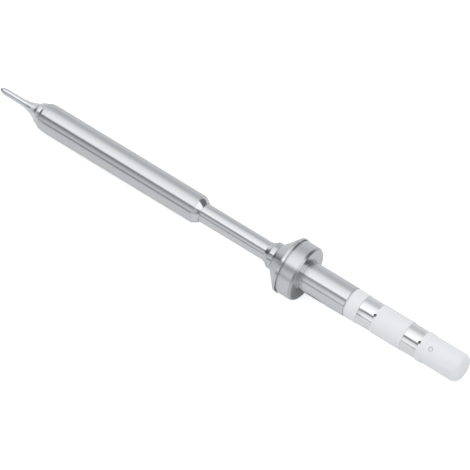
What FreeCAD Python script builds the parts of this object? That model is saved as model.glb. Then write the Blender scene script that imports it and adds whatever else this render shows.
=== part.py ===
import FreeCAD, Part
import math
import os

# Soldering iron tip with its heater, sensor and plug-in contacts in one stick.
# The axis runs along X. The bit points to -X and the contacts are at +X.
# The origin is where the shaft leaves the low boss on the back of the collar.
# All sizes are in millimetres.

# Bit, from its point back to the barrel
point_flat_radius = 0.15
point_length = 1.3
bit_rod_radius = 0.68
bit_rod_length = 3.2
flare_length = 3.55
flare_rise = 0.74
step_length = 0.45
step_rise = 0.46
shoulder_length = 0.85
shoulder_step = 0.13
mouth_gap = 0.25
bit_shank_length = 10.4
socket_depth = 6.0

# Barrel and the bush that closes its back end
barrel_radius = 2.8
barrel_wall = 0.35
barrel_length = 35.55
nose_length = 1.6
nose_swage = 0.45
mouth_edge = 0.25
bush_plug_length = 4.0
dome_length = 1.15
dome_bulge = 0.16
dome_step = 0.05
dome_rim = 0.1

# Slim tube between the barrel and the collar
tube_radius = 1.88
tube_wall = 0.3
tube_exposed_length = 14.65

# Collar
neck_radius = 2.0
neck_length = 0.75
hub_radius = 2.68
hub_length = 1.3
hub_edge = 0.35
cone_length = 2.75
lip_radius = 5.7
lip_length = 0.55
groove_width = 0.2
groove_depth = 0.25
band_radius = 5.5
band_length = 2.6
rim_bevel_length = 0.5
rim_bevel_depth = 0.35
boss_radius = 3.35
boss_length = 0.15

# Shaft
shaft_radius = 3.0
shaft_wall = 1.0
shaft_length = 9.85
shaft_edge = 0.12
spigot_wall = 0.5
spigot_length = 3.2

# Contact rings, spacers and end cap
ring_radius = 2.86
ring_length = 3.4
spacer_radius = 2.95
front_spacer_length = 2.8
middle_spacer_length = 6.6
bevel_length = 0.4
bevel_depth = 0.2
cap_radius = 2.87
cap_length = 9.2
cap_fillet = 1.3
cap_shoulder_length = 1.2
cap_shoulder_rise = 0.11
core_end_in_cap = 5.0
gate_mark_radius = 0.48
gate_mark_depth = 0.08
gate_mark_from_shoulder = 1.3

# Heater, sensor and leads
former_radius = 1.2
strip_width = 1.8
strip_thickness = 0.25
coil_turns = 3
seal_length = 4.4
wire_offset = 0.75
lead_radius = 0.2
sensor_radius = 0.15
bead_radius = 0.3
bead_length = 0.6
lead_end_depth = 0.35

# Clearances
fit_gap = 0.03
wire_gap = 0.06
contact_gap = 0.02

# Turn of the lead holes and the gate mark about the axis, from +Z towards -Y
index_angle = 24.0

# Places along the axis, worked out from the sizes above
stop_face = -boss_length
band_back = stop_face - rim_bevel_length
band_front = band_back - band_length
groove_front = band_front - groove_width
lip_front = groove_front - lip_length
hub_back = lip_front - cone_length
hub_front = hub_back - hub_length
collar_front = hub_front - neck_length
tube_back = -spigot_length
dome_back = collar_front - tube_exposed_length
barrel_back = dome_back - dome_length
barrel_mouth = barrel_back - barrel_length
bush_front = barrel_back - bush_plug_length
shoulder_back = barrel_mouth - mouth_gap
step_back = shoulder_back - shoulder_length
flare_back = step_back - step_length
flare_front = flare_back - flare_length
point_back = flare_front - bit_rod_length
point_front = point_back - point_length
shank_back = barrel_mouth + bit_shank_length
socket_floor = shank_back - socket_depth
seal_front = bush_front - seal_length
lead_leg = seal_front - contact_gap - lead_radius
coil_back = lead_leg - lead_radius - contact_gap - strip_width / 2
coil_front = shank_back + contact_gap + strip_width / 2
former_back = lead_leg - lead_radius - contact_gap
former_front = socket_floor + bead_length + contact_gap
front_ring_front = shaft_length + front_spacer_length
front_ring_back = front_ring_front + ring_length
rear_ring_front = front_ring_back + middle_spacer_length
rear_ring_back = rear_ring_front + ring_length
cap_shoulder_back = rear_ring_back + cap_shoulder_length
cap_back = rear_ring_back + cap_length
core_back = rear_ring_back + core_end_in_cap

# Radii that follow from the sizes above
barrel_bore = barrel_radius - barrel_wall
mouth_radius = barrel_radius - nose_swage
mouth_bore = mouth_radius - mouth_edge
inside_barrel = barrel_bore - fit_gap
tube_bore = tube_radius - tube_wall
shaft_bore = shaft_radius - shaft_wall
spigot_radius = shaft_bore + spigot_wall
core_radius = shaft_bore - fit_gap
ring_bore = core_radius + fit_gap
lead_bore = lead_radius + wire_gap
sensor_bore = sensor_radius + wire_gap
coil_inside = former_radius + fit_gap
coil_outside = coil_inside + strip_thickness
fill_bore = coil_outside + fit_gap

ORIGIN = FreeCAD.Vector(0, 0, 0)
X_AXIS = FreeCAD.Vector(1, 0, 0)
Z_AXIS = FreeCAD.Vector(0, 0, 1)


def at(x, r):
    return FreeCAD.Vector(x, r, 0)


def turned(start, *path):
    """Solid of revolution about X. A step is an end point, or a middle and an end point of an arc."""
    edges = []
    here = start
    for step in path + (start,):
        if isinstance(step[0], tuple):
            middle, end = step
            edges.append(Part.Arc(at(*here), at(*middle), at(*end)).toShape())
        else:
            end = step
            edges.append(Part.makeLine(at(*here), at(*end)))
        here = end
    return Part.Face(Part.Wire(edges)).revolve(ORIGIN, X_AXIS, 360)


def tangent_arc(tangent_end, other_end):
    """Middle point of an arc that is parallel to the axis at its first end."""
    run = other_end[0] - tangent_end[0]
    rise = other_end[1] - tangent_end[1]
    angle = 2 * math.atan2(abs(rise), abs(run))
    radius = abs(run) / math.sin(angle)
    along = radius * math.sin(angle / 2)
    across = radius * (1 - math.cos(angle / 2))
    return (tangent_end[0] + math.copysign(along, run), tangent_end[1] + math.copysign(across, rise))


def bulged(first, last, bulge):
    """Middle point between two ends, moved out from their chord, away from the axis."""
    chord = math.hypot(last[0] - first[0], last[1] - first[1])
    side_x = -(last[1] - first[1]) / chord
    side_r = (last[0] - first[0]) / chord
    return ((first[0] + last[0]) / 2 + bulge * side_x, (first[1] + last[1]) / 2 + bulge * side_r)


def round_back_corner(back, outer, radius):
    """Quarter arc that rounds an outer back corner."""
    reach = radius * math.sin(math.radians(45))
    middle = (back - radius + reach, outer - radius + reach)
    return (middle, (back, outer - radius))


def tube(front, back, outer, inner):
    """Plain sleeve."""
    return turned((front, inner), (back, inner), (back, outer), (front, outer))


def rod(front, back, radius, offset=0.0):
    """Rod along X, shifted from the axis by the offset along Z."""
    return Part.makeCylinder(radius, back - front, FreeCAD.Vector(front, 0, offset), X_AXIS)


def cross_rod(x, low, high, radius):
    """Rod along Z between two heights."""
    return Part.makeCylinder(radius, high - low, FreeCAD.Vector(x, 0, low), Z_AXIS)


def at_index(shape):
    """Turn a shape built with its lead hole at +Z to the index angle."""
    turned_shape = shape.copy()
    turned_shape.rotate(ORIGIN, X_AXIS, index_angle)
    return turned_shape


def soldering_bit():
    flare_top = (flare_back, bit_rod_radius + flare_rise)
    solid = turned(
        (point_front, 0),
        (point_front, point_flat_radius),
        (point_back, bit_rod_radius),
        (flare_front, bit_rod_radius),
        (tangent_arc((flare_front, bit_rod_radius), flare_top), flare_top),
        (step_back, bit_rod_radius + flare_rise + step_rise),
        (shoulder_back, mouth_radius - shoulder_step),
        (shoulder_back, mouth_bore - fit_gap),
        (barrel_mouth, mouth_bore - fit_gap),
        (barrel_mouth + nose_length, inside_barrel),
        (shank_back, inside_barrel),
        (shank_back, 0),
    )
    return solid.cut(rod(socket_floor, shank_back, former_radius + fit_gap))


def barrel_sleeve():
    nose_back = barrel_mouth + nose_length
    return turned(
        (barrel_mouth, mouth_bore),
        (barrel_mouth, mouth_radius),
        tangent_arc((nose_back, barrel_radius), (barrel_mouth, mouth_radius)),
        (nose_back, barrel_radius),
        (barrel_back, barrel_radius),
        (barrel_back, barrel_bore),
        (nose_back, barrel_bore),
    )


def barrel_bush():
    dome_foot = (barrel_back, barrel_radius - dome_step)
    dome_top = (dome_back, tube_radius + dome_rim)
    return turned(
        (bush_front, tube_radius + fit_gap),
        (bush_front, inside_barrel),
        (barrel_back, inside_barrel),
        dome_foot,
        bulged(dome_foot, dome_top, dome_bulge),
        dome_top,
        (dome_back, tube_radius + fit_gap),
    )


def heater_former():
    core = rod(former_front, former_back, former_radius)
    return at_index(core.cut(rod(former_front, former_back, sensor_bore, -wire_offset)))


def heating_coil():
    """Flat resistance strip, wound on the former."""
    length = coil_back - coil_front
    helix = Part.makeHelix(length / coil_turns, length, (coil_inside + coil_outside) / 2)
    corners = [
        FreeCAD.Vector(coil_inside, 0, -strip_width / 2),
        FreeCAD.Vector(coil_outside, 0, -strip_width / 2),
        FreeCAD.Vector(coil_outside, 0, strip_width / 2),
        FreeCAD.Vector(coil_inside, 0, strip_width / 2),
    ]
    section = Part.makePolygon(corners + corners[:1])
    coil = Part.Wire(helix).makePipeShell([section], True, True)
    coil.rotate(ORIGIN, FreeCAD.Vector(0, 1, 0), 90)
    coil.rotate(ORIGIN, X_AXIS, 180)
    coil.translate(FreeCAD.Vector(coil_front, 0, 0))
    return at_index(coil)


def sensor_wire():
    bead = rod(socket_floor, socket_floor + bead_length, bead_radius, -wire_offset)
    wire = rod(socket_floor, seal_front, sensor_radius, -wire_offset)
    return at_index(bead.fuse(wire).removeSplitter())


def magnesia_fill():
    return tube(shank_back, seal_front, inside_barrel, fill_bore)


def cement_seal():
    plug = rod(seal_front, bush_front, inside_barrel)
    for offset in (wire_offset, -wire_offset):
        plug = plug.cut(rod(seal_front, bush_front, lead_bore, offset))
    return at_index(plug)


def connecting_tube():
    return tube(bush_front, tube_back, tube_radius, tube_bore)


def twin_bore_insulator():
    body = rod(bush_front, tube_back, tube_bore - fit_gap)
    for offset in (wire_offset, -wire_offset):
        body = body.cut(rod(bush_front, tube_back, lead_bore, offset))
    return at_index(body)


def collar():
    return turned(
        (collar_front, tube_radius + fit_gap),
        (collar_front, neck_radius),
        (hub_front, hub_radius - hub_edge),
        (hub_front + hub_edge, hub_radius),
        (hub_back, hub_radius),
        (lip_front, lip_radius),
        (groove_front, lip_radius),
        (groove_front, lip_radius - groove_depth),
        (band_front, lip_radius - groove_depth),
        (band_front, band_radius),
        (band_back, band_radius),
        (stop_face, band_radius - rim_bevel_depth),
        (stop_face, boss_radius),
        (0, boss_radius),
        (0, spigot_radius + fit_gap),
        (tube_back, spigot_radius + fit_gap),
        (tube_back, tube_radius + fit_gap),
    )


def shaft_tube():
    return turned(
        (tube_back, shaft_bore),
        (tube_back, spigot_radius),
        (0, spigot_radius),
        (0, shaft_radius),
        (shaft_length - shaft_edge, shaft_radius),
        (shaft_length, shaft_radius - shaft_edge),
        (shaft_length, shaft_bore),
    )


def lead_hole(joint, low):
    """Radial hole, centred on a joint line, for the end of a lead."""
    return cross_rod(joint, low, shaft_radius, lead_bore)


def bent_wire(points, radius):
    """Round wire through (x, z) points, with square corners."""
    path = Part.makePolygon([FreeCAD.Vector(x, 0, z) for x, z in points])
    run = path.Vertexes[1].Point - path.Vertexes[0].Point
    section = Part.Wire(Part.makeCircle(radius, path.Vertexes[0].Point, run))
    return Part.Wire(path).makePipeShell([section], True, False, 1)


def insulator_core():
    body = rod(tube_back, core_back, core_radius)
    for joint, offset in ((front_ring_back, wire_offset), (rear_ring_back, -wire_offset)):
        route = ((tube_back, offset), (joint, offset), (joint, shaft_radius))
        body = body.cut(bent_wire(route, lead_bore))
    return at_index(body)


def front_spacer():
    return turned(
        (shaft_length, ring_bore),
        (shaft_length, spacer_radius - bevel_depth),
        (shaft_length + bevel_length, spacer_radius),
        (front_ring_front, spacer_radius),
        (front_ring_front, ring_bore),
    )


def contact_ring(front):
    back = front + ring_length
    ring = tube(front, back, ring_radius, ring_bore)
    return at_index(ring.cut(lead_hole(back, 0)))


def middle_spacer():
    spacer = tube(front_ring_back, rear_ring_front, spacer_radius, ring_bore)
    return at_index(spacer.cut(lead_hole(front_ring_back, 0)))


def end_cap():
    shoulder_radius = cap_radius + cap_shoulder_rise
    cap = turned(
        (rear_ring_back, ring_bore),
        (rear_ring_back, shoulder_radius),
        (cap_shoulder_back, shoulder_radius),
        (cap_shoulder_back + cap_shoulder_rise, cap_radius),
        (cap_back - cap_fillet, cap_radius),
        round_back_corner(cap_back, cap_radius, cap_fillet),
        (cap_back, 0),
        (core_back, 0),
        (core_back, ring_bore),
    )
    cap = cap.cut(lead_hole(rear_ring_back, 0))
    mark_x = cap_shoulder_back + gate_mark_from_shoulder
    mark = cross_rod(mark_x, cap_radius - gate_mark_depth, shaft_radius, gate_mark_radius)
    return at_index(cap.cut(mark))


def front_lead():
    lead_end = ring_radius - lead_end_depth
    route = (
        (lead_leg, coil_outside),
        (lead_leg, wire_offset),
        (front_ring_back, wire_offset),
        (front_ring_back, lead_end),
    )
    return at_index(bent_wire(route, lead_radius))


def rear_lead():
    lead_end = ring_radius - lead_end_depth
    route = ((seal_front, -wire_offset), (rear_ring_back, -wire_offset), (rear_ring_back, lead_end))
    return at_index(bent_wire(route, lead_radius))


def all_pieces():
    return {
        "soldering_bit": soldering_bit(),
        "barrel_sleeve": barrel_sleeve(),
        "barrel_bush": barrel_bush(),
        "heater_former": heater_former(),
        "heating_coil": heating_coil(),
        "sensor_wire": sensor_wire(),
        "magnesia_fill": magnesia_fill(),
        "cement_seal": cement_seal(),
        "connecting_tube": connecting_tube(),
        "twin_bore_insulator": twin_bore_insulator(),
        "collar": collar(),
        "shaft_tube": shaft_tube(),
        "insulator_core": insulator_core(),
        "front_spacer": front_spacer(),
        "front_contact_ring": contact_ring(front_ring_front),
        "middle_spacer": middle_spacer(),
        "rear_contact_ring": contact_ring(rear_ring_front),
        "end_cap": end_cap(),
        "front_lead": front_lead(),
        "rear_lead": rear_lead(),
    }


def main():
    os.makedirs("parts", exist_ok=True)
    for name, shape in all_pieces().items():
        shape.exportStep("parts/" + name + ".step")


main()
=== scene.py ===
import math
import bmesh
import bpy
import numpy as np
from mathutils import Matrix, Vector


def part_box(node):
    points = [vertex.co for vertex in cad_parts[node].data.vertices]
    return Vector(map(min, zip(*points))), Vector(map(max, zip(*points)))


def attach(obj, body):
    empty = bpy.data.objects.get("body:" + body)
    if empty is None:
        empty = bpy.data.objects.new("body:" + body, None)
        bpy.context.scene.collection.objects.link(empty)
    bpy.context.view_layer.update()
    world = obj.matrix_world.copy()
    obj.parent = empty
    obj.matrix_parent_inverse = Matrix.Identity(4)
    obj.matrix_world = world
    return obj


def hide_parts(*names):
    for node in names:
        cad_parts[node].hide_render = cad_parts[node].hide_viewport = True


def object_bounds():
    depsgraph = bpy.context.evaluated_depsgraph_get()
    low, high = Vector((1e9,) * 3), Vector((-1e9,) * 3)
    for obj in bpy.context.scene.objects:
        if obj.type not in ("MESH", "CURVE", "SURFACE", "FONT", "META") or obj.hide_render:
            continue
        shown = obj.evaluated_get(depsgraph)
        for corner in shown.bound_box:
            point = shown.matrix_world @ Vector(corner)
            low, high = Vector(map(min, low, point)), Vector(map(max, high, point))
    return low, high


# Soldering iron tip, dressed for a studio picture. Lengths are in metres, in the frame of the CAD model:
# the axis is X, the bit points to -X, and the origin is where the shaft leaves the low boss on the
# collar's back face.
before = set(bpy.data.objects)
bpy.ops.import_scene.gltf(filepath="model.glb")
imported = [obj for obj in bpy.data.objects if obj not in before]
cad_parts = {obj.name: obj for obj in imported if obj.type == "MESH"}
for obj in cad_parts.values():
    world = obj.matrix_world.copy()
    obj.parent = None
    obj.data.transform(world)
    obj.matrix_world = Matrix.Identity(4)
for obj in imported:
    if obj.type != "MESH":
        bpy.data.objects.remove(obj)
cad_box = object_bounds()

MM = 0.001
BODY = "root"

# Steps round a turned piece, the collar, a lead hole and the gate mark, and along a rounded corner.
SEGMENTS = 192
COLLAR_SEGMENTS = 256
HOLE_SEGMENTS = 48
MARK_SEGMENTS = 64
CORNER_STEPS = 6
# An edge that turns by more than this stays crisp.
SHARP = math.radians(14)
ON_AXIS = 1e-9

# The lead holes and the gate mark stand in one plane, turned from +Z towards -Y.
INDEX = math.radians(24)
INDEX_OUT = Vector((0, -math.sin(INDEX), math.cos(INDEX)))
INDEX_SIDE = Vector((0, math.cos(INDEX), math.sin(INDEX)))
HOLE = 0.3 * MM
HOLE_MARGIN = 1.01
CUTTER_FOOT = 0.5 * MM
CUTTER_REACH = 1.0 * MM
# Room between a bore and what it holds.
FIT = 0.03 * MM


# Places read from the frame.

def span(node):
    """Lowest and highest x of a CAD node."""
    low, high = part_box(node)
    return low.x, high.x


def radius_of(node):
    """Radius of a turned CAD node, from the narrowest side of its box."""
    low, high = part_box(node)
    return min(high.y, high.z, -low.y, -low.z)


# Profiles and meshes.

def arc_points(centre, radius, start, end, steps):
    """Points of an arc in the (x, r) plane, with angles in degrees from +x towards larger radii."""
    angles = np.radians(np.linspace(start, end, steps + 1))
    return [(centre[0] + radius * math.cos(a), centre[1] + radius * math.sin(a)) for a in angles]


def soften(points):
    """Round the corners of a closed profile. A point is (x, r) or (x, r, corner radius)."""
    longest_share = 0.45
    out = []
    for i, point in enumerate(points):
        here = Vector(point[:2])
        if len(point) < 3:
            out.append(tuple(here))
            continue
        before = Vector(points[i - 1][:2]) - here
        after = Vector(points[(i + 1) % len(points)][:2]) - here
        half = before.angle(after) / 2
        reach = min(point[2] / math.tan(half), longest_share * before.length, longest_share * after.length)
        first = here + before.normalized() * reach
        last = here + after.normalized() * reach
        for k in range(CORNER_STEPS + 1):
            t = k / CORNER_STEPS
            out.append(tuple((1 - t) ** 2 * first + 2 * t * (1 - t) * here + t ** 2 * last))
    return out


def mesh_object(name, vertices, faces):
    """Object with a mesh of these points and faces."""
    mesh = bpy.data.meshes.new(name)
    mesh.from_pydata(vertices, [], faces)
    mesh.validate()
    piece = bpy.data.objects.new(name, mesh)
    bpy.context.scene.collection.objects.link(piece)
    return piece


def smooth(piece):
    """Smooth shading that stays crisp at real edges."""
    work = bmesh.new()
    work.from_mesh(piece.data)
    bmesh.ops.recalc_face_normals(work, faces=work.faces)
    for face in work.faces:
        face.smooth = True
    for edge in work.edges:
        if len(edge.link_faces) == 2:
            edge.smooth = edge.calc_face_angle(0.0) < SHARP
    work.to_mesh(piece.data)
    work.free()


def lathe(name, profile, segments=SEGMENTS):
    """Closed turned solid from a closed (x, r) profile. Points on the axis become one vertex each."""
    vertices = []
    rings = []
    for x, r in profile:
        start = len(vertices)
        if r < ON_AXIS:
            vertices.append((x, 0.0, 0.0))
            rings.append([start] * segments)
            continue
        for k in range(segments):
            angle = 2 * math.pi * k / segments
            vertices.append((x, r * math.cos(angle), r * math.sin(angle)))
        rings.append([start + k for k in range(segments)])
    faces = []
    for ring, other in zip(rings, rings[1:] + rings[:1]):
        for k in range(segments):
            n = (k + 1) % segments
            corners = list(dict.fromkeys((ring[k], ring[n], other[n], other[k])))
            if len(corners) > 2:
                faces.append(corners)
    return mesh_object(name, vertices, faces)


def index_circle(x, distance, radius, segments):
    """Points of a circle that faces outwards at the index angle, at this distance from the axis."""
    points = []
    for k in range(segments):
        angle = 2 * math.pi * k / segments
        aside = INDEX_SIDE * radius * math.sin(angle)
        points.append(tuple(INDEX_OUT * distance + aside + Vector((x + radius * math.cos(angle), 0, 0))))
    return points


def index_rod(x, low, high, radius):
    """Rod that stands out at the index angle, between two distances from the axis."""
    count = HOLE_SEGMENTS
    vertices = index_circle(x, low, radius, count) + index_circle(x, high, radius, count)
    sides = [(k, (k + 1) % count, count + (k + 1) % count, count + k) for k in range(count)]
    ends = [tuple(range(count)), tuple(range(count, 2 * count))]
    return mesh_object("cutter", vertices, sides + ends)


def index_ring(x, low, high, radius, inner):
    """Tube that stands out at the index angle, between two distances from the axis."""
    count = MARK_SEGMENTS
    rows = ((low, radius), (high, radius), (high, inner), (low, inner))
    vertices = []
    for distance, reach in rows:
        vertices += index_circle(x, distance, reach, count)
    faces = []
    for row in range(len(rows)):
        a, b = row * count, (row + 1) % len(rows) * count
        for k in range(count):
            n = (k + 1) % count
            faces.append((a + k, a + n, b + n, b + k))
    return mesh_object("cutter", vertices, faces)


def cut(piece, tool):
    """Subtract the tool from the piece and keep only the result."""
    modifier = piece.modifiers.new("cut", "BOOLEAN")
    modifier.operation = "DIFFERENCE"
    modifier.solver = "EXACT"
    modifier.object = tool
    bpy.context.view_layer.update()
    result = bpy.data.meshes.new_from_object(piece.evaluated_get(bpy.context.evaluated_depsgraph_get()))
    piece.modifiers.clear()
    piece.data = result
    bpy.data.objects.remove(tool)


def paint(piece, material, chosen):
    """Second material for the faces whose middle passes the test."""
    piece.data.materials.append(material)
    index = len(piece.data.materials) - 1
    for face in piece.data.polygons:
        if chosen(face.center):
            face.material_index = index


def in_hole(x):
    """Test for the walls of a lead hole at this place along the axis."""
    def test(centre):
        offset = centre - Vector((x, 0, 0))
        height = offset.dot(INDEX_OUT)
        return height > 0 and (offset - INDEX_OUT * height).length < HOLE_MARGIN * HOLE
    return test


def dress(piece, material, slot, *nodes):
    """Material, body and the CAD nodes that a piece stands for."""
    smooth(piece)
    piece.data.materials.clear()
    piece.data.materials.append(material)
    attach(piece, BODY)
    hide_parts(*nodes)
    return piece


# Shader nodes.

class Nodes:
    """Short way to add and link shader nodes."""

    def __init__(self, tree):
        self.tree = tree
        tree.nodes.clear()

    def add(self, kind, **settings):
        node = self.tree.nodes.new(kind)
        for key, value in settings.items():
            setattr(node, key, value)
        return node

    def link(self, source, target):
        self.tree.links.new(source, target)

    def feed(self, socket, value):
        """Link a socket to another, or give it a fixed value."""
        if isinstance(value, bpy.types.NodeSocket):
            self.link(value, socket)
        else:
            socket.default_value = value

    def math(self, operation, *values):
        node = self.add("ShaderNodeMath", operation=operation)
        for socket, value in zip(node.inputs, values):
            self.feed(socket, value)
        return node.outputs[0]

    def times(self, *values):
        """Product of two or more values."""
        result = values[0]
        for value in values[1:]:
            result = self.math("MULTIPLY", result, value)
        return result

    def mix(self, factor, first, second):
        node = self.add("ShaderNodeMix", data_type="RGBA")
        self.feed(node.inputs["Factor"], factor)
        self.feed(node.inputs["A"], first)
        self.feed(node.inputs["B"], second)
        return node.outputs["Result"]

    def noise(self, vector, scale, detail, roughness):
        node = self.add("ShaderNodeTexNoise")
        self.feed(node.inputs["Vector"], vector)
        node.inputs["Scale"].default_value = scale
        node.inputs["Detail"].default_value = detail
        node.inputs["Roughness"].default_value = roughness
        return node.outputs["Fac"]

    def spread(self, value, low, high):
        """Map 0..1 to low..high."""
        node = self.add("ShaderNodeMapRange")
        self.feed(node.inputs["Value"], value)
        node.inputs["To Min"].default_value = low
        node.inputs["To Max"].default_value = high
        return node.outputs["Result"]

    def rise(self, value, start, end):
        """0 below the start and 1 above the end, smooth in between."""
        node = self.add("ShaderNodeMapRange", interpolation_type="SMOOTHSTEP")
        self.feed(node.inputs["Value"], value)
        node.inputs["From Min"].default_value = start
        node.inputs["From Max"].default_value = end
        return node.outputs["Result"]

    def minus(self, value):
        return self.math("MULTIPLY", value, -1.0)

    def window(self, value, rising, falling):
        """1 between two soft edges and 0 outside them."""
        up = self.rise(value, *rising)
        down = self.rise(self.minus(value), -falling[1], -falling[0])
        return self.times(up, down)

    def place(self):
        """Place in the object's own coordinates."""
        return self.add("ShaderNodeTexCoord").outputs["Object"]

    def parts(self, vector):
        """The x, y and z of a vector."""
        node = self.add("ShaderNodeSeparateXYZ")
        self.link(vector, node.inputs[0])
        return node.outputs


def grey(value, tint=(1.0, 1.0, 1.0)):
    """Colour of one brightness, with a tint."""
    return (value * tint[0], value * tint[1], value * tint[2], 1.0)


def new_material(name):
    """Material with one principled shader, its nodes and that shader."""
    material = bpy.data.materials.new(name)
    material.use_nodes = True
    n = Nodes(material.node_tree)
    shader = n.add("ShaderNodeBsdfPrincipled")
    output = n.add("ShaderNodeOutputMaterial")
    n.link(shader.outputs["BSDF"], output.inputs["Surface"])
    return material, n, shader


def add_bump(n, shader, height, strength, depth):
    """Fine relief on the surface."""
    bump = n.add("ShaderNodeBump")
    bump.inputs["Strength"].default_value = strength
    bump.inputs["Distance"].default_value = depth
    n.link(height, bump.inputs["Height"])
    n.link(bump.outputs[0], shader.inputs["Normal"])


def turned_coordinates(n, along, around):
    """Coordinates that run quickly along the axis and outwards, and slowly around it, as tool marks do."""
    x, y, z = n.parts(n.place())
    radius = n.math("SQRT", n.math("ADD", n.times(y, y), n.times(z, z)))
    angle = n.math("ABSOLUTE", n.math("ARCTAN2", y, z))
    joined = n.add("ShaderNodeCombineXYZ")
    n.link(n.times(x, along), joined.inputs["X"])
    n.link(n.times(radius, along), joined.inputs["Y"])
    n.link(n.times(angle, around), joined.inputs["Z"])
    return joined.outputs[0]


STEEL_TINT = (0.965, 0.98, 1.0)
RING_TINT = (0.99, 0.993, 1.0)
STAIN_TINT = (1.0, 0.99, 0.97)
STAIN_SHARE = 0.18
STAIN_SHADE = 0.93
FINE_SHARE = 0.6
ROUGH_SWING = 0.2
MARK_DEPTH = 0.02 * MM
GLOSS_TURN = 0.25


def turned_metal(name, shade, roughness, anisotropy, grain, tint=STEEL_TINT, contrast=0.06, dull=0.0):
    """Metal with tool marks that run round the axis."""
    material, n, shader = new_material(name)
    fine = n.noise(turned_coordinates(n, along=9000.0, around=1.6), scale=1.0, detail=3.0, roughness=0.65)
    coarse = n.noise(turned_coordinates(n, along=1100.0, around=0.9), scale=1.0, detail=2.0, roughness=0.5)
    cloud = n.noise(n.place(), scale=260.0, detail=3.0, roughness=0.6)
    marks = n.math("ADD", n.times(fine, FINE_SHARE), n.times(coarse, 1 - FINE_SHARE))
    colour = n.mix(marks, grey(shade * (1 - contrast), tint), grey(shade * (1 + contrast), tint))
    colour = n.mix(n.spread(cloud, 0.0, STAIN_SHARE), colour, grey(shade * STAIN_SHADE, STAIN_TINT))
    n.link(colour, shader.inputs["Base Color"])
    rough = n.spread(marks, roughness * (1 - ROUGH_SWING), roughness * (1 + ROUGH_SWING))
    n.link(n.math("ADD", rough, n.times(cloud, dull)), shader.inputs["Roughness"])
    shader.inputs["Metallic"].default_value = 1.0
    shader.inputs["Anisotropic"].default_value = anisotropy
    shader.inputs["Anisotropic Rotation"].default_value = GLOSS_TURN
    tangent = n.add("ShaderNodeTangent", direction_type="RADIAL", axis="X")
    n.link(tangent.outputs[0], shader.inputs["Tangent"])
    add_bump(n, shader, marks, grain, MARK_DEPTH)
    return material


PLASTIC_WARMTH = (1.0, 0.99, 0.97)
PLASTIC_SHADE = 0.965
PLASTIC_SWING = 0.06
PLASTIC_UNEVEN = 0.6
PLASTIC_SPECULAR = 0.45
PORE_DEPTH = 0.02 * MM


def moulded_plastic(name, colour, roughness):
    """White moulded plastic with a faint grain and slight unevenness."""
    material, n, shader = new_material(name)
    place = n.place()
    cloud = n.noise(place, scale=180.0, detail=3.0, roughness=0.55)
    pores = n.noise(place, scale=5200.0, detail=2.0, roughness=0.5)
    shaded = tuple(PLASTIC_SHADE * c * w for c, w in zip(colour, PLASTIC_WARMTH))
    uneven = n.mix(n.spread(cloud, 0.0, PLASTIC_UNEVEN), colour + (1.0,), shaded + (1.0,))
    n.link(uneven, shader.inputs["Base Color"])
    rough = n.spread(pores, roughness - PLASTIC_SWING, roughness + PLASTIC_SWING)
    n.link(rough, shader.inputs["Roughness"])
    shader.inputs["Specular IOR Level"].default_value = PLASTIC_SPECULAR
    add_bump(n, shader, pores, strength=0.12, depth=PORE_DEPTH)
    return material


CERAMIC_SWING = 0.1
GRAIN_DEPTH = 0.03 * MM


def ceramic(name, colour, dark, scale, roughness):
    """Matte mineral surface with grains of two shades."""
    material, n, shader = new_material(name)
    grains = n.noise(n.place(), scale, detail=4.0, roughness=0.7)
    n.link(n.mix(grains, colour, dark), shader.inputs["Base Color"])
    rough = n.spread(grains, roughness - CERAMIC_SWING, roughness + CERAMIC_SWING)
    n.link(rough, shader.inputs["Roughness"])
    add_bump(n, shader, grains, strength=0.3, depth=GRAIN_DEPTH)
    return material


DRAWN_STRETCH = (0.05, 1.0, 1.0)
DRAWN_SHADES = (0.9, 1.08)
OXIDE_SHARE = 0.5
OXIDE_SHADE = 0.6
OXIDE_ROUGHNESS = (-0.08, 0.12)


def drawn_wire(name, shade, roughness, tint):
    """Bare wire with fine draw marks along it and patches of oxide."""
    material, n, shader = new_material(name)
    place = n.place()
    stretch = n.add("ShaderNodeMapping")
    n.link(place, stretch.inputs["Vector"])
    stretch.inputs["Scale"].default_value = DRAWN_STRETCH
    lines = n.noise(stretch.outputs[0], scale=9000.0, detail=2.0, roughness=0.6)
    oxide = n.noise(place, scale=900.0, detail=3.0, roughness=0.6)
    low, high = DRAWN_SHADES
    bright = n.mix(lines, grey(shade * low, tint), grey(shade * high, tint))
    colour = n.mix(n.spread(oxide, 0.0, OXIDE_SHARE), bright, grey(shade * OXIDE_SHADE, tint))
    n.link(colour, shader.inputs["Base Color"])
    low, high = OXIDE_ROUGHNESS
    n.link(n.spread(oxide, roughness + low, roughness + high), shader.inputs["Roughness"])
    shader.inputs["Metallic"].default_value = 1.0
    return material


# The pieces that show, from the point backwards. A profile's point is x, radius and, on a rounded corner,
# the corner's own radius.

ROD_RADIUS = 0.68 * MM
FLARE_LENGTH = 3.5 * MM
FLARE_RISE = 0.74 * MM
FLARE_STEPS = 16


def bit_flare(start):
    """Arc that leaves the rod smoothly and widens backwards."""
    radius = (FLARE_LENGTH ** 2 + FLARE_RISE ** 2) / (2 * FLARE_RISE)
    sweep = math.degrees(math.asin(FLARE_LENGTH / radius))
    return arc_points((start, ROD_RADIUS + radius), radius, -90, -90 + sweep, FLARE_STEPS)


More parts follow.
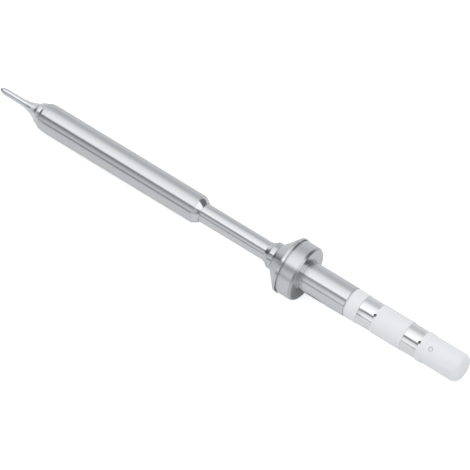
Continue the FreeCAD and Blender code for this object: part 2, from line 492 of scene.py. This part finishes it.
def soldering_bit(material):
    """Pointed rod that flares into a steep step and a shoulder, with a narrow gap at the barrel's mouth."""
    front = span("soldering_bit")[0]
    mouth = span("barrel_sleeve")[0]
    point_radius, knee_length, knee_share = 0.15 * MM, 0.5 * MM, 0.74
    rod_start = front + 1.3 * MM
    ease = 0.15 * MM
    flare_start = rod_start + 3.2 * MM
    flare_top = ROD_RADIUS + FLARE_RISE
    step_front, step_foot = flare_start + FLARE_LENGTH + 0.2 * MM, flare_top + 0.08 * MM
    step_back, step_top = step_front + 0.65 * MM, flare_top + 0.6 * MM
    shoulder_back, shoulder_radius = mouth - 0.25 * MM, 2.2 * MM
    gap_radius = 2.17 * MM
    shank_back, shank_radius = mouth + 3.0 * MM, radius_of("barrel_sleeve") - 0.73 * MM
    fine, slight, wide = 0.06 * MM, 0.1 * MM, 0.4 * MM
    profile = soften([
        (front, 0.0),
        (front, point_radius, slight),
        (front + knee_length, ROD_RADIUS * knee_share, wide),
        (rod_start - ease, ROD_RADIUS, wide),
    ] + bit_flare(flare_start) + [
        (step_front, step_foot, slight),
        (step_back, step_top, slight),
        (shoulder_back, shoulder_radius, fine),
        (shoulder_back, gap_radius),
        (mouth, gap_radius),
        (mouth, shank_radius),
        (shank_back, shank_radius),
        (shank_back, 0.0),
    ])
    dress(lathe("bit", profile), material, "bit_plating", "soldering_bit")


def barrel(material):
    """Turned sleeve whose mouth is swaged in: a steep edge, then a long gentle shoulder."""
    front, back = span("barrel_sleeve")
    outer = radius_of("barrel_sleeve")
    bore, mouth_bore, mouth_radius = outer - 0.35 * MM, outer - 0.7 * MM, outer - 0.53 * MM
    edge_back, edge_radius = front + 0.55 * MM, outer - 0.17 * MM
    nose_back = front + 1.6 * MM
    fine, slight, knee, shoulder = 0.04 * MM, 0.09 * MM, 0.15 * MM, 1.2 * MM
    profile = soften([
        (front, mouth_bore),
        (front, mouth_radius, fine),
        (edge_back, edge_radius, knee),
        (nose_back, outer, shoulder),
        (back, outer, slight),
        (back, bore),
        (nose_back, bore),
    ])
    dress(lathe("barrel", profile), material, "barrel_steel", "barrel_sleeve")


def bush(material):
    """Plug whose domed end closes the barrel round the slim tube."""
    front, back = span("barrel_bush")
    barrel_back = span("barrel_sleeve")[1]
    plug = radius_of("barrel_sleeve") - 0.38 * MM
    foot = radius_of("barrel_sleeve") - 0.1 * MM
    bore = radius_of("connecting_tube") + FIT
    first, last = Vector((barrel_back, foot)), Vector((back, bore + 0.07 * MM))
    chord = last - first
    lift = Vector((-chord.y, chord.x)).normalized() * 0.07 * MM
    steps = 16
    dome = []
    for k in range(steps + 1):
        t = k / steps
        dome.append(tuple(first.lerp(last, t) + lift * 4 * t * (1 - t)))
    profile = [(front, bore), (front, plug), (barrel_back, plug)] + dome + [(back, bore)]
    dress(lathe("bush", profile), material, "bush_steel", "barrel_bush")


def stem(material):
    """Slim tube between the barrel and the collar."""
    front, back = span("connecting_tube")
    outer = radius_of("connecting_tube")
    bore = outer - 0.3 * MM
    profile = [(front, bore), (front, outer), (back, outer), (back, bore)]
    dress(lathe("stem", profile), material, "stem_steel", "connecting_tube")


NECK_LENGTH = 0.75 * MM
NECK_WALL = 0.04 * MM
HUB_RADIUS = 2.68 * MM
HUB_EDGE = 0.35 * MM
HUB_LENGTH = 1.3 * MM
CONE_LENGTH = 2.75 * MM
LIP_WIDTH = 0.55 * MM
GROOVE_WIDTH = 0.3 * MM
GROOVE_DEPTH = 0.3 * MM
BAND_RADIUS = 5.5 * MM
BEVEL_LENGTH = 0.5 * MM
BEVEL_DEPTH = 0.28 * MM
BOSS_RADIUS = 3.35 * MM
BOSS_HEIGHT = 0.15 * MM
RELIEF_DEPTH = 0.1 * MM


def collar_front(front, bore):
    """Profile from the neck over the hub and the cone to the back of the lip."""
    lip = radius_of("collar")
    hub_front = front + NECK_LENGTH
    hub_back = hub_front + HUB_LENGTH
    lip_front = hub_back + CONE_LENGTH
    crisp, slight, wide = 0.05 * MM, 0.12 * MM, 0.15 * MM
    return [
        (front, bore),
        (front, bore + NECK_WALL),
        (hub_front, HUB_RADIUS - HUB_EDGE),
        (hub_front + HUB_EDGE, HUB_RADIUS, slight),
        (hub_back, HUB_RADIUS, crisp),
        (lip_front, lip, wide),
        (lip_front + LIP_WIDTH, lip, crisp),
    ]


def collar_back(groove_front, back, bore):
    """Profile from the groove over the band and the bevelled rim to the stop face and the low boss."""
    band_front = groove_front + GROOVE_WIDTH
    groove_floor = BAND_RADIUS - GROOVE_DEPTH
    stop = back - BOSS_HEIGHT
    root = radius_of("shaft_tube")
    relief_top, relief_foot = root + 0.1 * MM, root + 0.02 * MM
    thin, fine, crisp, edge, slight = 0.03 * MM, 0.04 * MM, 0.05 * MM, 0.06 * MM, 0.12 * MM
    return [
        (groove_front, groove_floor),
        (band_front, groove_floor),
        (band_front, BAND_RADIUS, edge),
        (stop - BEVEL_LENGTH, BAND_RADIUS, crisp),
        (stop, BAND_RADIUS - BEVEL_DEPTH, slight),
        (stop, BOSS_RADIUS),
        (back, BOSS_RADIUS, fine),
        (back, relief_top, thin),
        (back - RELIEF_DEPTH, relief_foot),
        (back - RELIEF_DEPTH, bore),
    ]


def collar(material, polished, rim):
    """Turned collar with a polished cone and stop face, and a bevelled rim in darker metal that is painted
    shade.
    """
    front, back = span("collar")
    bore = radius_of("connecting_tube") + FIT
    nose = collar_front(front, bore)
    groove_front = nose[-1][0]
    piece = lathe("stop_collar", soften(nose + collar_back(groove_front, back, bore)), COLLAR_SEGMENTS)
    dress(piece, material, "collar_steel", "collar")
    stop = back - BOSS_HEIGHT
    rim_start, rim_end = stop - BEVEL_LENGTH + 0.04 * MM, stop - 0.02 * MM
    paint(piece, polished, lambda c: c.x < groove_front or c.x > rim_end)
    # The bevel takes the darker metal: painted shade standing in for a dark reflection.
    paint(piece, rim, lambda c: rim_start < c.x < rim_end)


def shaft(material):
    """Steel shaft behind the collar."""
    back = span("shaft_tube")[1]
    outer = radius_of("shaft_tube")
    start = -0.3 * MM
    bore = outer - 1.0 * MM
    profile = soften([
        (start, bore),
        (start, outer),
        (back, outer, 0.12 * MM),
        (back, bore),
    ])
    dress(lathe("shaft", profile), material, "shaft_steel", "shaft_tube")


SPACER_BEVEL = 0.4 * MM
SPACER_BEVEL_DEPTH = 0.2 * MM


def sleeve(name, node, slot, material, inside, edge, bevelled=False, hole_at=None):
    """Turned ring or spacer with rounded edges. Its front may be bevelled, and it may have a lead hole whose
    walls carry painted shade.
    """
    front, back = span(node)
    outer = radius_of(node)
    bore = radius_of("insulator_core") + FIT
    start = [(front, outer, edge)]
    if bevelled:
        start = [
            (front, outer - SPACER_BEVEL_DEPTH, 0.03 * MM),
            (front + SPACER_BEVEL, outer, 0.1 * MM),
        ]
    piece = lathe(name, soften([(front, bore)] + start + [(back, outer, edge), (back, bore)]))
    if hole_at is not None:
        cut(piece, index_rod(hole_at, CUTTER_FOOT, outer + CUTTER_REACH, HOLE))
    dress(piece, material, slot, node)
    if hole_at is not None:
        # The hole's walls take the nearly black material: painted shade.
        paint(piece, inside, in_hole(hole_at))


CAP_STEP = 0.11 * MM
CAP_FILLET = 1.3 * MM
CAP_FILLET_STEPS = 14
MARK_PLACE = 1.3 * MM
MARK_RADIUS = 0.48 * MM
MARK_DISH = 0.05 * MM
MARK_RING = (0.478 * MM, 0.33 * MM)
MARK_RING_DEPTH = 0.3 * MM


def cap_profile(front, back, shoulder, shoulder_back):
    """Low shoulder, slim body with close rows at the gate mark, and a rounded end."""
    outer = shoulder - CAP_STEP
    bore = radius_of("insulator_core") + FIT
    bore_end = front + 5.0 * MM
    mark = shoulder_back + MARK_PLACE
    rows_reach, rows = 0.6 * MM, 6
    start = soften([
        (front, bore),
        (front, shoulder, 0.05 * MM),
        (shoulder_back, shoulder, 0.04 * MM),
        (shoulder_back + CAP_STEP, outer, 0.1 * MM),
    ] + [(mark + rows_reach * k / rows, outer) for k in range(-rows, rows + 1)])
    centre = (back - CAP_FILLET, outer - CAP_FILLET)
    end = arc_points(centre, CAP_FILLET, 90, 0, CAP_FILLET_STEPS)
    return start + end + [(back, 0.0), (bore_end, 0.0), (bore_end, bore)]


def cap(material, inside):
    """White end cap with a lead hole on its front edge, whose walls carry painted shade, and a small round
    gate mark.
    """
    front, back = span("end_cap")
    shoulder = radius_of("end_cap")
    shoulder_back = front + 1.2 * MM
    mark = shoulder_back + MARK_PLACE
    surface = shoulder - CAP_STEP
    piece = lathe("cap", cap_profile(front, back, shoulder, shoulder_back))
    cut(piece, index_rod(front, CUTTER_FOOT, shoulder + CUTTER_REACH, HOLE))
    cut(piece, index_rod(mark, surface - MARK_DISH, surface + CUTTER_REACH, MARK_RADIUS))
    cut(piece, index_ring(mark, surface - MARK_RING_DEPTH, surface + CUTTER_REACH, *MARK_RING))
    dress(piece, material, "cap_plastic", "end_cap")
    # The hole's walls take the nearly black material: painted shade.
    paint(piece, inside, in_hole(front))


# Turned metals: brightness, roughness, how far the gloss is stretched, and the strength of the tool marks.
METALS = {
    "bit_plating": dict(shade=0.71, roughness=0.2, anisotropy=0.25, grain=0.05, contrast=0.03, dull=0.03),
    "barrel": dict(shade=0.60, roughness=0.24, anisotropy=0.72, grain=0.22),
    "bush": dict(shade=0.64, roughness=0.13, anisotropy=0.35, grain=0.08),
    "stem": dict(shade=0.62, roughness=0.22, anisotropy=0.65, grain=0.15),
    "collar": dict(shade=0.60, roughness=0.34, anisotropy=0.7, grain=0.35, contrast=0.09),
    "cone": dict(shade=0.57, roughness=0.15, anisotropy=0.45, grain=0.12),
    # The rim's low shade is painted shade, standing in for a dark reflection on the bevel.
    "rim": dict(shade=0.48, roughness=0.3, anisotropy=0.6, grain=0.3, contrast=0.09),
    "shaft": dict(shade=0.62, roughness=0.24, anisotropy=0.7, grain=0.2),
    "ring": dict(shade=0.72, roughness=0.11, anisotropy=0.3, grain=0.05, contrast=0.03, tint=RING_TINT),
}


def make_metal_pieces(metals):
    """The steel pieces from the bit to the shaft."""
    soldering_bit(metals["bit_plating"])
    barrel(metals["barrel"])
    bush(metals["bush"])
    stem(metals["stem"])
    collar(metals["collar"], metals["cone"], metals["rim"])
    shaft(metals["shaft"])


def make_contact_end(ring_metal):
    """White spacers, contact rings and cap, with the lead holes on the rings' back joint lines."""
    white = moulded_plastic("spacer_look", (0.84, 0.847, 0.86), roughness=0.5)
    white_cap = moulded_plastic("cap_look", (0.845, 0.852, 0.865), roughness=0.46)
    # The lead holes' walls are painted nearly black: painted shade for the dark inside of the holes.
    hole_painted_shade = drawn_wire("lead_hole_painted_shade_look", shade=0.16, roughness=0.6, tint=(0.96, 0.98, 1.0))
    joint_1 = span("front_contact_ring")[1]
    joint_2 = span("rear_contact_ring")[1]
    crisp, soft = 0.05 * MM, 0.07 * MM
    sleeve("spacer_1", "front_spacer", "white_plastic", white, hole_painted_shade, crisp, bevelled=True)
    sleeve("ring_1", "front_contact_ring", "ring_plating", ring_metal, hole_painted_shade, crisp, hole_at=joint_1)
    sleeve("spacer_2", "middle_spacer", "white_plastic", white, hole_painted_shade, soft, hole_at=joint_1)
    sleeve("ring_2", "rear_contact_ring", "ring_plating", ring_metal, hole_painted_shade, crisp, hole_at=joint_2)
    cap(white_cap, hole_painted_shade)


# Shades of the hidden pieces' surfaces, as brightness and tint.
ALUMINA = (grey(0.86), grey(0.76, (1.0, 0.98, 0.94)))
MAGNESIA = (grey(0.84, (1.0, 0.99, 0.96)), grey(0.70, (1.0, 0.98, 0.94)))
CEMENT = (grey(0.70, (1.0, 0.97, 0.91)), grey(0.50, (1.0, 0.96, 0.9)))
CORE_COLOUR = (0.78, 0.77, 0.74)
LEAD_TINT = (1.0, 0.97, 0.93)


def dress_hidden_nodes():
    """Looks for the CAD nodes inside, whose shapes stay as they are."""
    looks = {
        "heater_former": ceramic("alumina_look", *ALUMINA, scale=1500.0, roughness=0.6),
        "twin_bore_insulator": ceramic("alumina_rod_look", *ALUMINA, scale=1500.0, roughness=0.55),
        "magnesia_fill": ceramic("magnesia_look", *MAGNESIA, scale=3500.0, roughness=0.85),
        "cement_seal": ceramic("cement_look", *CEMENT, scale=2600.0, roughness=0.85),
        "insulator_core": moulded_plastic("core_look", CORE_COLOUR, roughness=0.5),
        "heating_coil": drawn_wire("heater_look", shade=0.42, roughness=0.45, tint=(1.0, 0.95, 0.9)),
        "sensor_wire": drawn_wire("sensor_look", shade=0.55, roughness=0.35, tint=(1.0, 0.97, 0.92)),
        "front_lead": drawn_wire("lead_look", shade=0.30, roughness=0.45, tint=LEAD_TINT),
        "rear_lead": drawn_wire("rear_lead_look", shade=0.30, roughness=0.45, tint=LEAD_TINT),
    }
    for node, material in looks.items():
        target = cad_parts[node]
        target.data.materials.clear()
        target.data.materials.append(material)


# The table. It is pale, and in reflections only it has painted shade before the point, a painted shadow
# under the collar and a faint glow beside the part.

TABLE_REACH = 2.5
TABLE_SHADE = 0.9
TABLE_GLOW = 0.62
TABLE_GLOSS_SHARE = 0.12
# The next two shades are painted: shade on the table far before the point, and a shadow under the collar,
# seen only in reflections.
END_PAINTED_SHADE = 0.15
UNDER_PAINTED_SHADOW = 0.45
# Soft edges of the patches: where each begins and where it is full, or full and gone.
END_PATCH_START = (69 * MM, 76 * MM)
END_PATCH_NEAR = (-14 * MM, -9 * MM)
END_PATCH_FAR = (6 * MM, 13 * MM)
UNDER_PATCH_START = (-2 * MM, 1 * MM)
UNDER_PATCH_END = (1.5 * MM, 4.5 * MM)
UNDER_PATCH_SIDES = (-6 * MM, -4 * MM)
UNDER_PATCH_NEAR = (-6.5 * MM, -4.5 * MM)
GLOW_NEAR = (-14 * MM, -1 * MM)


def table_colour_with_painted_shade(n, x, y, glossy):
    """Pale, with painted shade in front of the point and a grey painted shadow under the collar, in
    reflections only.
    """
    # Painted shade far before the point, seen only in reflections.
    strip = n.window(y, END_PATCH_NEAR, END_PATCH_FAR)
    painted_shade_ahead = n.times(n.rise(n.minus(x), *END_PATCH_START), strip)
    colour = n.mix(n.times(painted_shade_ahead, glossy), grey(TABLE_SHADE), grey(END_PAINTED_SHADE))
    # Grey painted shadow under the collar, seen only in reflections.
    aside = n.minus(n.math("ABSOLUTE", y))
    sides = n.times(n.rise(aside, *UNDER_PATCH_SIDES), n.rise(y, *UNDER_PATCH_NEAR))
    under = n.times(n.window(x, UNDER_PATCH_START, UNDER_PATCH_END), sides)
    return n.mix(n.times(under, glossy), colour, grey(UNDER_PAINTED_SHADOW))


def table_glow(n, y, path):
    """Glow that makes the table white for the camera, and lifts its near side a little in reflections."""
    beside = n.times(n.rise(y, *GLOW_NEAR), n.math("LESS_THAN", y, 0.0))
    mirrored = n.times(path.outputs["Is Glossy Ray"], beside, TABLE_GLOSS_SHARE)
    seen = n.math("ADD", path.outputs["Is Camera Ray"], path.outputs["Is Transmission Ray"])
    return n.times(n.math("ADD", seen, mirrored), TABLE_GLOW)


def table_look():
    """Matte material of the table, with its painted shade, painted shadow and glow."""
    material = bpy.data.materials.new("floor_with_painted_shade_look")
    material.use_nodes = True
    n = Nodes(material.node_tree)
    x, y, _ = n.parts(n.place())
    path = n.add("ShaderNodeLightPath")
    matte = n.add("ShaderNodeBsdfDiffuse")
    n.link(table_colour_with_painted_shade(n, x, y, path.outputs["Is Glossy Ray"]), matte.inputs["Color"])
    glow = n.add("ShaderNodeEmission")
    n.link(table_glow(n, y, path), glow.inputs["Strength"])
    both = n.add("ShaderNodeAddShader")
    n.link(matte.outputs[0], both.inputs[0])
    n.link(glow.outputs[0], both.inputs[1])
    output = n.add("ShaderNodeOutputMaterial")
    n.link(both.outputs[0], output.inputs["Surface"])
    return material


def floor():
    """Table on which the tip lies, resting on the collar's lip and the barrel's nose."""
    lip_place, nose_place = 3.6 * MM, 1.6 * MM
    lip = Vector((span("collar")[1] - lip_place, 0, -radius_of("collar")))
    nose = Vector((span("barrel_sleeve")[0] + nose_place, 0, -radius_of("barrel_sleeve")))
    along = (nose - lip).normalized() * TABLE_REACH
    across = Vector((0, 1, 0)) * TABLE_REACH
    corners = [tuple(lip + along * a + across * c) for a, c in ((-1, -1), (1, -1), (1, 1), (-1, 1))]
    table = mesh_object("floor", corners, [(0, 1, 2, 3)])
    table.data.materials.append(table_look())


# The studio. Each table gives its brightness round the axis: degrees from straight up towards -Y, and level.

# Beside the part.
STUDIO = (
    (-180, 0.76), (-130, 1.00), (-106, 0.97), (-88, 0.90), (-72, 0.79), (-55, 0.73), (-43, 0.80),
    (-34, 0.93), (-25, 1.09), (-17, 1.22), (-6, 1.32), (7, 1.40), (20, 1.47), (27.5, 1.40), (32, 0.45),
    (37, 0.26), (44, 0.31), (48, 0.54), (53, 0.65), (61, 0.78), (69, 0.86), (74, 0.86), (77, 0.40),
    (83, 0.32), (87, 0.42), (91, 0.71), (98, 0.80), (180, 0.80),
)
# In front of the point, which the flare of the bit reflects.
STUDIO_FRONT = (
    (-180, 0.80), (-110, 0.90), (-60, 0.80), (-30, 0.95), (0, 1.25), (24, 1.30), (30, 0.40), (36, 0.15),
    (62, 0.20), (72, 0.75), (98, 0.85), (180, 0.85),
)
# Behind the cap, which the faces that look backwards reflect.
STUDIO_BACK = (
    (-180, 0.80), (-105, 0.70), (-92, 0.30), (-50, 0.22), (-32, 0.30), (-26, 1.50), (26, 1.50), (33, 0.80),
    (42, 0.42), (55, 0.34), (80, 0.34), (92, 0.50), (110, 0.62), (180, 0.80),
)
# Far in front and far behind: even light, and a dark middle in front that only steep faces reflect.
FRONT_LEVEL = 1.1
BACK_END_LEVEL = 1.1
FRONT_END_LEVEL = 0.12
FRONT_END_DIRECTION = (-0.99, -0.10, -0.08)
# Where one table gives way to the next, as the share of the direction that points along the axis.
BACK_EDGE = (0.1, 0.28)
BACK_END_EDGE = (0.9, 0.95)
FRONT_EDGE = (0.6, 0.68)
FRONT_RING_EDGE = (0.8, 0.86)
FRONT_END_EDGE = (0.885, 0.91)
# The strongest light in the tables, and the tints of bright and dim light.
STUDIO_TOP = 1.6
BRIGHT_TINT = (0.985, 0.992, 1.0)
DIM_TINT = (0.90, 0.94, 1.0)
DIM_RANGE = 0.6


def light_ramp(n, share, levels):
    """Brightness round the axis from -180 degrees as a colour ramp, a little cooler where it is dim."""
    ramp = n.add("ShaderNodeValToRGB")
    n.link(share, ramp.inputs["Fac"])
    elements = ramp.color_ramp.elements
    while len(elements) > 1:
        elements.remove(elements[-1])
    elements[0].position = 0.0
    for degrees, level in levels:
        place = degrees / 360 + 0.5
        element = elements[0] if place == 0.0 else elements.new(place)
        dim = max(0.0, min(1.0, (1.0 - level) / DIM_RANGE))
        tint = [bright + (low - bright) * dim for bright, low in zip(BRIGHT_TINT, DIM_TINT)]
        element.color = grey(level / STUDIO_TOP, tint)
    return ramp.outputs["Color"]


def studio_colour(n, direction):
    """Colour of the studio in a direction."""
    def even(level):
        return grey(level / STUDIO_TOP)

    x, y, z = n.parts(direction)
    share = n.math("ADD", n.math("DIVIDE", n.math("ARCTAN2", n.minus(y), z), 2 * math.pi), 0.5)
    colour = n.mix(n.rise(x, *BACK_EDGE), light_ramp(n, share, STUDIO), light_ramp(n, share, STUDIO_BACK))
    colour = n.mix(n.rise(x, *BACK_END_EDGE), colour, even(BACK_END_LEVEL))
    forward = n.minus(x)
    colour = n.mix(n.rise(forward, *FRONT_EDGE), colour, light_ramp(n, share, STUDIO_FRONT))
    colour = n.mix(n.rise(forward, *FRONT_RING_EDGE), colour, even(FRONT_LEVEL))
    middle = n.add("ShaderNodeVectorMath", operation="DOT_PRODUCT")
    n.link(direction, middle.inputs[0])
    middle.inputs[1].default_value = FRONT_END_DIRECTION
    return n.mix(n.rise(middle.outputs["Value"], *FRONT_END_EDGE), colour, even(FRONT_END_LEVEL))


def studio_light():
    """World light in long soft bands along the axis, and plain white for what the camera sees directly."""
    world = bpy.data.worlds.new("studio")
    bpy.context.scene.world = world
    world.use_nodes = True
    n = Nodes(world.node_tree)
    light = n.add("ShaderNodeBackground")
    n.link(studio_colour(n, n.add("ShaderNodeTexCoord").outputs["Generated"]), light.inputs["Color"])
    light.inputs["Strength"].default_value = STUDIO_TOP
    white = n.add("ShaderNodeBackground")
    white.inputs["Color"].default_value = grey(1.0)
    white.inputs["Strength"].default_value = 1.0
    either = n.add("ShaderNodeMixShader")
    n.link(n.add("ShaderNodeLightPath").outputs["Is Camera Ray"], either.inputs["Fac"])
    n.link(light.outputs[0], either.inputs[1])
    n.link(white.outputs[0], either.inputs[2])
    output = n.add("ShaderNodeOutputWorld")
    n.link(either.outputs[0], output.inputs["Surface"])


# Soft cards beside the part: from x and to x in mm, from angle and to angle, and light level.
CARD_DISTANCE = 60 * MM
SIDE_CARDS = (
    (-52.0, -9.0, 20.0, 38.0, 0.18),
    (-26.0, -9.0, 24.0, 44.0, 0.14),
    (-45.0, 10.0, 36.0, 90.0, 0.08),
    (-26.0, -9.0, 64.0, 86.0, 0.06),
    (-8.5, 36.0, 20.0, 36.0, 0.12),
    (-8.5, 36.0, 46.0, 90.0, 0.30),
)


def side_card(from_x, to_x, from_angle, to_angle, level):
    """Soft rectangle of light beside the part, turned to the axis."""
    middle = math.radians((from_angle + to_angle) / 2)
    out = Vector((0, -math.sin(middle), math.cos(middle)))
    along = Vector((1, 0, 0))
    light = bpy.data.lights.new("side_card", "AREA")
    light.shape = "RECTANGLE"
    light.size = (to_x - from_x) * MM
    light.size_y = 2 * CARD_DISTANCE * math.tan(math.radians((to_angle - from_angle) / 2))
    light.energy = level * math.pi * light.size * light.size_y
    card = bpy.data.objects.new("side_card", light)
    card.rotation_euler = Matrix((along, out.cross(along), out)).transposed().to_euler()
    card.location = out * CARD_DISTANCE + along * (from_x + to_x) / 2 * MM
    card.visible_camera = False
    bpy.context.scene.collection.objects.link(card)


# The camera looks from the cap's side and from above. Its aim is set off from the middle of the axis.
CAMERA_AZIMUTH = math.radians(35.9347)
CAMERA_ELEVATION = math.radians(57.09)
CAMERA_DISTANCE = 3.8
CAMERA_SENSOR = 36.0
CAMERA_CLIP = (0.1, 10.0)
FRAME_WIDTH = 86.2517 * MM
AIM_RIGHT = 0.6506 * MM
AIM_DOWN = 1.0856 * MM


def camera():
    """Long lens that takes in the whole tip."""
    level = math.cos(CAMERA_ELEVATION)
    east, north = math.cos(CAMERA_AZIMUTH), math.sin(CAMERA_AZIMUTH)
    right = Vector((east, north, 0))
    back = Vector((north * level, -east * level, math.sin(CAMERA_ELEVATION)))
    up = back.cross(right)
    low, high = cad_box
    middle = Vector(((low.x + high.x) / 2, 0, 0))
    aim = middle + right * AIM_RIGHT - up * AIM_DOWN
    data = bpy.data.cameras.new("camera")
    data.sensor_width = CAMERA_SENSOR
    data.lens = CAMERA_SENSOR * CAMERA_DISTANCE / FRAME_WIDTH
    data.clip_start, data.clip_end = CAMERA_CLIP
    eye = bpy.data.objects.new("camera", data)
    eye.location = aim + back * CAMERA_DISTANCE
    eye.rotation_euler = (-back).to_track_quat("-Z", "Y").to_euler()
    bpy.context.scene.collection.objects.link(eye)
    bpy.context.scene.camera = eye


bpy.context.scene.view_settings.view_transform = "Standard"
metals = {name: turned_metal(name + "_look", **look) for name, look in METALS.items()}
make_metal_pieces(metals)
make_contact_end(metals["ring"])
dress_hidden_nodes()
floor()
studio_light()
for card in SIDE_CARDS:
    side_card(*card)
camera()
